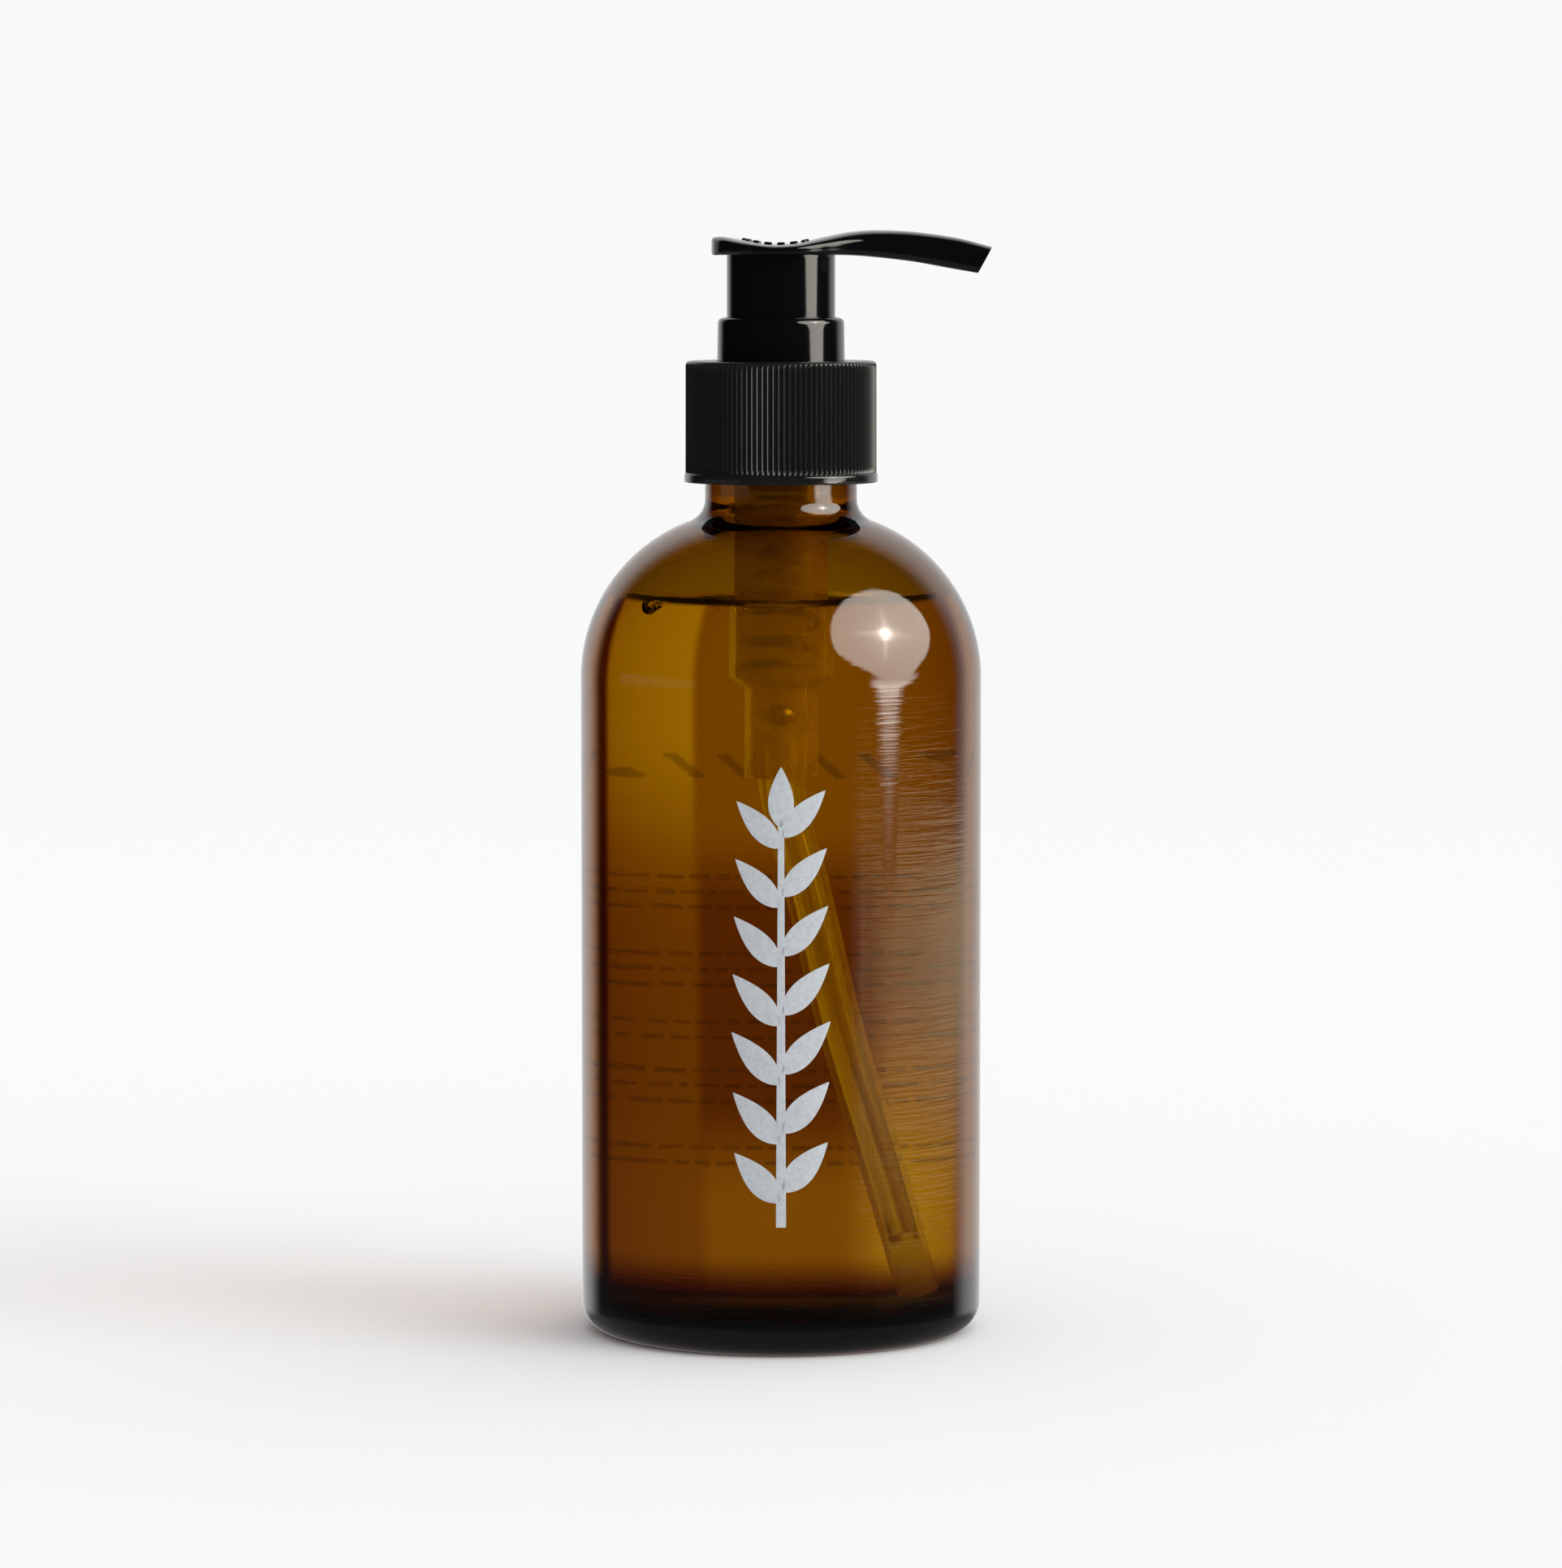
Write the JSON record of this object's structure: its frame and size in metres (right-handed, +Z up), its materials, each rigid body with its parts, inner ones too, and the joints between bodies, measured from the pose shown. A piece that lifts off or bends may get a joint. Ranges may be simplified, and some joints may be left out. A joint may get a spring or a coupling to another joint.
{
  "type": "pump oil bottle",
  "caption": "Round-shouldered amber glass bottle with a ribbed black screw collar and a push-down oil pump with a side nozzle.",
  "frame": {"origin": "centre of the bottle's flat base, on its axis", "axes": "+Z up along the bottle's axis, +X the way the nozzle points, +Y away from the printed front"},
  "size_m": [0.0621, 0.0606, 0.1671],
  "materials": {
    "amber_glass": "gloss",
    "ribbed_black": "satin",
    "gloss_black": "gloss",
    "natural_plastic": "satin",
    "white_plastic": "gloss",
    "foam_liner": "matte",
    "spring_steel": "gloss",
    "massage_oil": "gloss",
    "silver_ink": "satin"
  },
  "bodies": {
    "bottle": {"bottle_glass": "amber_glass"},
    "pump_body": {"pump_housing": "natural_plastic", "lock_sleeve": "gloss_black", "neck_gasket": "foam_liner", "dip_tube": "natural_plastic", "return_spring": "spring_steel"},
    "closure": {"screw_collar": "ribbed_black"},
    "plunger": {"stem": "white_plastic", "stem_plug": "white_plastic"},
    "piston_ring": {"piston": "white_plastic"},
    "head": {"actuator_head": "gloss_black"},
    "valve_ball": {"intake_ball": "spring_steel"}
  },
  "joints": [
    {"name": "pump_lift", "type": "slide", "parent": "bottle", "child": "pump_body", "axis": [0, 0, 1], "range_m": [0, 0.00635]},
    {"name": "collar_unscrew", "type": "hinge", "parent": "pump_body", "child": "closure", "pos_m": [0, 0, 0.138], "axis": [0, 0, 1], "range_deg": [0, 720]},
    {"name": "pump_stroke", "type": "slide", "parent": "pump_body", "child": "plunger", "axis": [0, 0, -1], "range_m": [0, 0.007], "stiffness_N_per_m": 600, "springref_m": -0.004, "deforming": ["return_spring"]},
    {"name": "head_turn", "type": "hinge", "parent": "plunger", "child": "head", "pos_m": [0, 0, 0.16], "axis": [0, 0, 1], "range_deg": [0, 90]},
    {"name": "piston_float", "type": "slide", "parent": "plunger", "child": "piston_ring", "axis": [0, 0, 1], "range_m": [0, 0.0009]},
    {"name": "ball_lift", "type": "slide", "parent": "pump_body", "child": "valve_ball", "axis": [0, 0, 1], "range_m": [0, 0.0015]}
  ],
  "couplings": [
    {"joint": "collar_unscrew", "follows": "pump_lift", "rad_per_m": 1979}
  ]
}
